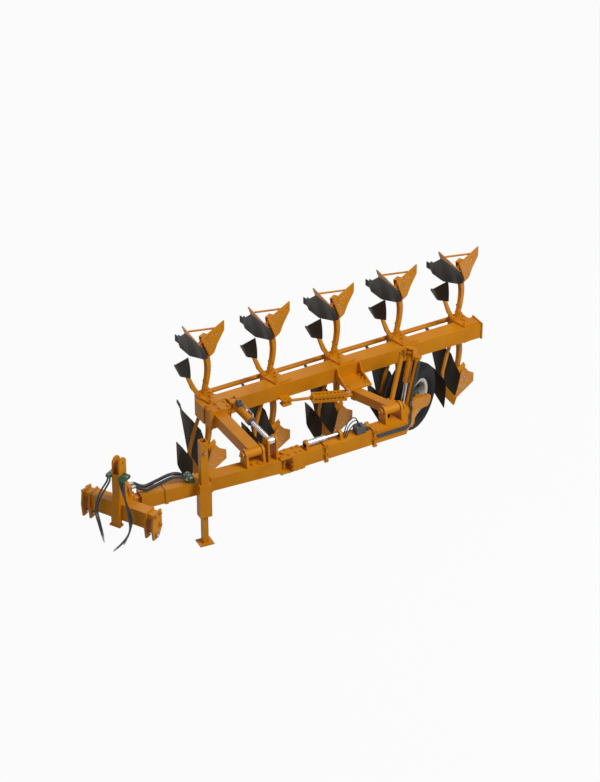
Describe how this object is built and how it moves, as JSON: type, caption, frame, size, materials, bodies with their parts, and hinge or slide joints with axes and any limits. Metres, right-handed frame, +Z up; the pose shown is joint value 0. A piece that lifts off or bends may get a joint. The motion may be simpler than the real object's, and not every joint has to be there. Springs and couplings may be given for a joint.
{
  "type": "semi-mounted reversible plough",
  "caption": "Reversible moldboard plough on a drawbar with a rear wheel: mirrored curved bodies hang below and stand above a slanted beam that turns over on the carrier",
  "frame": {"origin": "on the ground under the middle of the part's box, without the hanging hoses", "axes": "+X along the plough beam to the rear, +Y to the bodies' side, +Z up"},
  "size_m": [6.004, 2.5158, 2],
  "materials": {
    "orange_paint": "gloss paint",
    "soil_steel": "dark lacquer over steel",
    "dark_steel": "dark steel",
    "bright_steel": "polished",
    "tyre": "matt rubber",
    "rim_paint": "pale paint",
    "grey_paint": "satin",
    "clamp_green": "moulded",
    "hose_rubber": "matt rubber"
  },
  "bodies": {
    "carrier": {"carrier_tube": "orange_paint", "carrier_collars": "orange_paint", "drawbar": "orange_paint", "mid_hinge": "orange_paint", "front_bracket": "orange_paint", "turnover_pins": "bright_steel", "turnover_fork": "orange_paint", "carrier_cylinder": "bright_steel", "valve_box": "grey_paint", "cart_frame": "orange_paint", "lift_mast": "orange_paint", "stand_sleeve": "orange_paint", "swivel_pin": "orange_paint", "hose_post": "orange_paint", "feed_hoses": "hose_rubber", "feed_clamp": "clamp_green"},
    "headstock": {"headstock_yoke": "orange_paint", "cross_tube": "orange_paint", "clevises": "orange_paint", "hitch_pins": "bright_steel", "tower": "orange_paint", "hose_clamps": "clamp_green", "hose_1": "hose_rubber", "hose_2": "hose_rubber", "hose_3": "hose_rubber", "hose_4": "hose_rubber", "hose_5": "hose_rubber", "coupler_1": "dark_steel", "coupler_2": "dark_steel", "coupler_3": "dark_steel", "coupler_4": "dark_steel", "coupler_5": "dark_steel"},
    "plough_frame": {"beam": "orange_paint", "beam_ends": "orange_paint", "link_bar": "orange_paint", "heads": "orange_paint", "legs": "orange_paint", "frogs": "orange_paint", "landsides": "orange_paint", "mouldboards": "soil_steel", "shares": "orange_paint", "stays": "dark_steel", "skimmer_stalks": "orange_paint", "skimmers": "soil_steel", "front_arm": "orange_paint", "rear_arm": "orange_paint", "rear_console": "orange_paint", "width_cylinder": "orange_paint", "cylinder_guard": "orange_paint", "turnover_lugs": "orange_paint"},
    "turnover_cylinder": {"turnover_barrel": "orange_paint", "turnover_rod": "bright_steel"},
    "wheel_arm": {"wheel_arm": "orange_paint"},
    "wheel": {"tyre": "tyre", "rim": "rim_paint"},
    "lift_barrel": {"lift_barrel": "orange_paint"},
    "lift_rod": {"lift_rod": "bright_steel"},
    "stand": {"stand_leg": "orange_paint"}
  },
  "joints": [
    {"name": "headstock_swivel", "type": "hinge", "parent": "carrier", "child": "headstock", "pos_m": [-2.52686, -0.69475, 0.76], "axis": [0, 0, 1], "range_deg": [-105, 35]},
    {"name": "turnover", "type": "hinge", "parent": "carrier", "child": "plough_frame", "pos_m": [-0.94177, -0.8096, 1], "axis": [1, 0, 0], "range_deg": [0, 180]},
    {"name": "turnover_barrel_pivot", "type": "hinge", "parent": "plough_frame", "child": "turnover_cylinder", "pos_m": [-0.71877, 0.1004, 1.1], "axis": [1, 0, 0], "range_deg": [0, 12.7]},
    {"name": "wheel_lift", "type": "hinge", "parent": "carrier", "child": "wheel_arm", "pos_m": [1.18641, -0.51579, 0.64], "axis": [-0.5, 0.866, 0], "range_deg": [0, 20]},
    {"name": "wheel_spin", "type": "hinge", "parent": "wheel_arm", "child": "wheel", "pos_m": [1.76423, 0.0834, 0.44], "axis": [-0.5, 0.866, 0], "continuous": true},
    {"name": "lift_barrel_pivot", "type": "hinge", "parent": "carrier", "child": "lift_barrel", "pos_m": [1.5155, -0.32579, 1.36], "axis": [-0.5, 0.866, 0], "range_deg": [-3, 0]},
    {"name": "lift_rod_slide", "type": "slide", "parent": "lift_barrel", "child": "lift_rod", "axis": [-0.2512, -0.145, -0.957], "range_m": [0, 0.064]},
    {"name": "stand_slide", "type": "slide", "parent": "carrier", "child": "stand", "axis": [0, 0, 1], "range_m": [0, 0.35]}
  ],
  "couplings": [
    {"joint": "turnover_barrel_pivot", "follows": "turnover", "ratio": 0.07033},
    {"joint": "lift_barrel_pivot", "follows": "wheel_lift", "ratio": -0.1076},
    {"joint": "lift_rod_slide", "follows": "wheel_lift", "m_per_rad": 0.17219}
  ]
}
